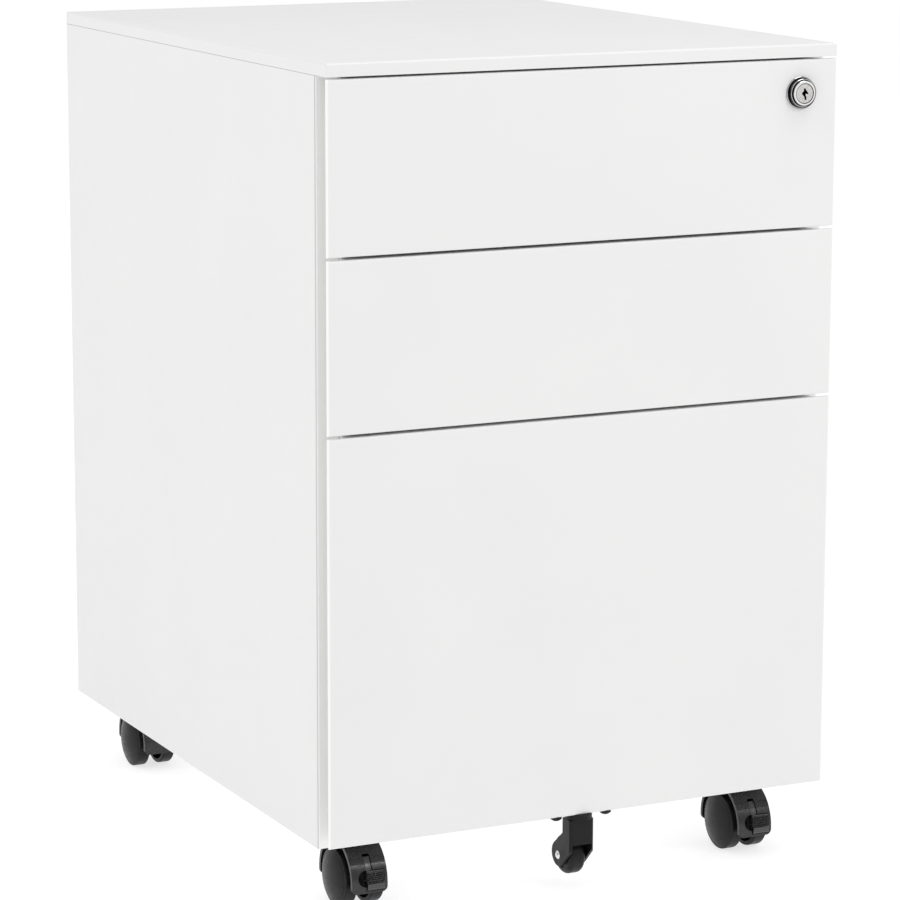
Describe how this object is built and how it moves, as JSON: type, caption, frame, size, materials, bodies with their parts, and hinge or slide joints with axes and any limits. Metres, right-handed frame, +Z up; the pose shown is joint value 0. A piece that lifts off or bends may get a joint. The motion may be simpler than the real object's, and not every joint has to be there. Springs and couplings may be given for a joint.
{
  "type": "mobile filing cabinet",
  "caption": "Sheet-steel pedestal on swivel casters: box drawers over a file drawer on ball slides, a central lock and finger grooves at both sides.",
  "frame": {"origin": "on the floor, at the centre of the bounding box seen from above", "axes": "+Z up, +Y from the drawer fronts to the back, +X to the right of someone who faces the fronts"},
  "size_m": [0.39, 0.494, 0.59],
  "materials": {
    "white_powder_coat": "semi-gloss white powder coat",
    "zinc_steel": "bright zinc-plated steel",
    "chrome": "polished nickel chrome",
    "black_steel": "satin black powder coat",
    "black_nylon": "satin moulded nylon",
    "wheel_nylon": "smooth hard nylon"
  },
  "bodies": {
    "cabinet": {"top_panel": "white_powder_coat", "left_side_panel": "white_powder_coat", "right_side_panel": "white_powder_coat", "back_panel": "white_powder_coat", "base_panel": "white_powder_coat", "front_rail": "white_powder_coat", "slide_uprights": "white_powder_coat", "slide_screws": "zinc_steel", "outer_slides_1": "zinc_steel", "outer_slides_2": "zinc_steel", "outer_slides_3": "zinc_steel", "caster_plates": "black_steel"},
    "drawer_1": {"drawer_front_1": "white_powder_coat", "drawer_box_1": "white_powder_coat", "runners_1": "zinc_steel", "lock_housing": "chrome", "lock_nut": "zinc_steel"},
    "drawer_2": {"drawer_front_2": "white_powder_coat", "drawer_box_2": "white_powder_coat", "runners_2": "zinc_steel"},
    "drawer_3": {"drawer_front_3": "white_powder_coat", "drawer_box_3": "white_powder_coat", "runners_3": "zinc_steel", "file_rails": "zinc_steel", "tip_plate": "black_steel", "tip_screws": "black_steel"},
    "lock_plug": {"lock_plug": "chrome", "lock_cam": "zinc_steel"},
    "lock_bar": {"lock_bar": "zinc_steel", "lock_hooks": "zinc_steel"},
    "tip_swivel": {"tip_fork": "black_steel", "tip_axle": "chrome"},
    "tip_wheel": {"tip_wheel": "wheel_nylon"},
    "middle_slides_1": {"middle_slides_1": "zinc_steel"},
    "outer_cages_1": {"outer_cages_1": "zinc_steel"},
    "inner_cages_1": {"inner_cages_1": "zinc_steel"},
    "middle_slides_2": {"middle_slides_2": "zinc_steel"},
    "outer_cages_2": {"outer_cages_2": "zinc_steel"},
    "inner_cages_2": {"inner_cages_2": "zinc_steel"},
    "middle_slides_3": {"middle_slides_3": "zinc_steel"},
    "outer_cages_3": {"outer_cages_3": "zinc_steel"},
    "inner_cages_3": {"inner_cages_3": "zinc_steel"},
    "swivel_front_left": {"hood_front_left": "black_nylon", "axle_front_left": "zinc_steel"},
    "wheel_front_left_a": {"wheel_front_left_a": "wheel_nylon"},
    "wheel_front_left_b": {"wheel_front_left_b": "wheel_nylon"},
    "swivel_front_right": {"hood_front_right": "black_nylon", "axle_front_right": "zinc_steel"},
    "wheel_front_right_a": {"wheel_front_right_a": "wheel_nylon"},
    "wheel_front_right_b": {"wheel_front_right_b": "wheel_nylon"},
    "swivel_back_left": {"hood_back_left": "black_nylon", "axle_back_left": "zinc_steel"},
    "wheel_back_left_a": {"wheel_back_left_a": "wheel_nylon"},
    "wheel_back_left_b": {"wheel_back_left_b": "wheel_nylon"},
    "swivel_back_right": {"hood_back_right": "black_nylon", "axle_back_right": "zinc_steel"},
    "wheel_back_right_a": {"wheel_back_right_a": "wheel_nylon"},
    "wheel_back_right_b": {"wheel_back_right_b": "wheel_nylon"},
    "brake_pedal_left": {"brake_pedal_left": "black_nylon"},
    "brake_pedal_right": {"brake_pedal_right": "black_nylon"}
  },
  "joints": [
    {"name": "drawer_1_slide", "type": "slide", "parent": "cabinet", "child": "drawer_1", "axis": [0, -1, 0], "range_m": [0, 0.42]},
    {"name": "drawer_2_slide", "type": "slide", "parent": "cabinet", "child": "drawer_2", "axis": [0, -1, 0], "range_m": [0, 0.42]},
    {"name": "drawer_3_slide", "type": "slide", "parent": "cabinet", "child": "drawer_3", "axis": [0, -1, 0], "range_m": [0, 0.42]},
    {"name": "middle_slides_1_run", "type": "slide", "parent": "cabinet", "child": "middle_slides_1", "axis": [0, -1, 0], "range_m": [0, 0.2105]},
    {"name": "outer_cages_1_run", "type": "slide", "parent": "cabinet", "child": "outer_cages_1", "axis": [0, -1, 0], "range_m": [0, 0.1055]},
    {"name": "inner_cages_1_run", "type": "slide", "parent": "cabinet", "child": "inner_cages_1", "axis": [0, -1, 0], "range_m": [0, 0.3155]},
    {"name": "middle_slides_2_run", "type": "slide", "parent": "cabinet", "child": "middle_slides_2", "axis": [0, -1, 0], "range_m": [0, 0.2105]},
    {"name": "outer_cages_2_run", "type": "slide", "parent": "cabinet", "child": "outer_cages_2", "axis": [0, -1, 0], "range_m": [0, 0.1055]},
    {"name": "inner_cages_2_run", "type": "slide", "parent": "cabinet", "child": "inner_cages_2", "axis": [0, -1, 0], "range_m": [0, 0.3155]},
    {"name": "middle_slides_3_run", "type": "slide", "parent": "cabinet", "child": "middle_slides_3", "axis": [0, -1, 0], "range_m": [0, 0.2105]},
    {"name": "outer_cages_3_run", "type": "slide", "parent": "cabinet", "child": "outer_cages_3", "axis": [0, -1, 0], "range_m": [0, 0.1055]},
    {"name": "inner_cages_3_run", "type": "slide", "parent": "cabinet", "child": "inner_cages_3", "axis": [0, -1, 0], "range_m": [0, 0.3155]},
    {"name": "lock_bar_lift", "type": "slide", "parent": "cabinet", "child": "lock_bar", "axis": [0, 0, 1], "range_m": [0, 0.01244]},
    {"name": "lock_turn", "type": "hinge", "parent": "drawer_1", "child": "lock_plug", "pos_m": [0.1655, -0.24, 0.5564], "axis": [0, -1, 0], "range_deg": [-3, 94]},
    {"name": "swivel_front_left", "type": "hinge", "parent": "cabinet", "child": "swivel_front_left", "pos_m": [-0.154, -0.181, 0.045], "axis": [0, 0, 1], "continuous": true},
    {"name": "roll_front_left_a", "type": "hinge", "parent": "swivel_front_left", "child": "wheel_front_left_a", "pos_m": [-0.166, -0.19, 0.0205], "axis": [1, 0, 0], "continuous": true},
    {"name": "roll_front_left_b", "type": "hinge", "parent": "swivel_front_left", "child": "wheel_front_left_b", "pos_m": [-0.142, -0.19, 0.0205], "axis": [1, 0, 0], "continuous": true},
    {"name": "swivel_front_right", "type": "hinge", "parent": "cabinet", "child": "swivel_front_right", "pos_m": [0.154, -0.181, 0.045], "axis": [0, 0, 1], "continuous": true},
    {"name": "roll_front_right_a", "type": "hinge", "parent": "swivel_front_right", "child": "wheel_front_right_a", "pos_m": [0.142, -0.19, 0.0205], "axis": [1, 0, 0], "continuous": true},
    {"name": "roll_front_right_b", "type": "hinge", "parent": "swivel_front_right", "child": "wheel_front_right_b", "pos_m": [0.166, -0.19, 0.0205], "axis": [1, 0, 0], "continuous": true},
    {"name": "swivel_back_left", "type": "hinge", "parent": "cabinet", "child": "swivel_back_left", "pos_m": [-0.154, 0.21, 0.045], "axis": [0, 0, 1], "continuous": true},
    {"name": "roll_back_left_a", "type": "hinge", "parent": "swivel_back_left", "child": "wheel_back_left_a", "pos_m": [-0.166, 0.201, 0.0205], "axis": [1, 0, 0], "continuous": true},
    {"name": "roll_back_left_b", "type": "hinge", "parent": "swivel_back_left", "child": "wheel_back_left_b", "pos_m": [-0.142, 0.201, 0.0205], "axis": [1, 0, 0], "continuous": true},
    {"name": "swivel_back_right", "type": "hinge", "parent": "cabinet", "child": "swivel_back_right", "pos_m": [0.154, 0.21, 0.045], "axis": [0, 0, 1], "continuous": true},
    {"name": "roll_back_right_a", "type": "hinge", "parent": "swivel_back_right", "child": "wheel_back_right_a", "pos_m": [0.142, 0.201, 0.0205], "axis": [1, 0, 0], "continuous": true},
    {"name": "roll_back_right_b", "type": "hinge", "parent": "swivel_back_right", "child": "wheel_back_right_b", "pos_m": [0.166, 0.201, 0.0205], "axis": [1, 0, 0], "continuous": true},
    {"name": "brake_left", "type": "hinge", "parent": "swivel_front_left", "child": "brake_pedal_left", "pos_m": [-0.15, -0.2142, 0.023], "axis": [-1, 0, 0], "range_deg": [0, 8]},
    {"name": "brake_right", "type": "hinge", "parent": "swivel_front_right", "child": "brake_pedal_right", "pos_m": [0.158, -0.2142, 0.023], "axis": [-1, 0, 0], "range_deg": [0, 8]},
    {"name": "tip_swivel", "type": "hinge", "parent": "drawer_3", "child": "tip_swivel", "pos_m": [0, -0.234, 0.052], "axis": [0, 0, 1], "continuous": true},
    {"name": "tip_roll", "type": "hinge", "parent": "tip_swivel", "child": "tip_wheel", "pos_m": [0, -0.221, 0.0235], "axis": [1, 0, 0], "continuous": true}
  ],
  "couplings": [
    {"joint": "middle_slides_1_run", "follows": "drawer_1_slide", "ratio": 0.5},
    {"joint": "outer_cages_1_run", "follows": "drawer_1_slide", "ratio": 0.25},
    {"joint": "inner_cages_1_run", "follows": "drawer_1_slide", "ratio": 0.75},
    {"joint": "middle_slides_2_run", "follows": "drawer_2_slide", "ratio": 0.5},
    {"joint": "outer_cages_2_run", "follows": "drawer_2_slide", "ratio": 0.25},
    {"joint": "inner_cages_2_run", "follows": "drawer_2_slide", "ratio": 0.75},
    {"joint": "middle_slides_3_run", "follows": "drawer_3_slide", "ratio": 0.5},
    {"joint": "outer_cages_3_run", "follows": "drawer_3_slide", "ratio": 0.25},
    {"joint": "inner_cages_3_run", "follows": "drawer_3_slide", "ratio": 0.75},
    {"joint": "lock_turn", "follows": "lock_bar_lift", "rad_per_m": 126.2}
  ]
}
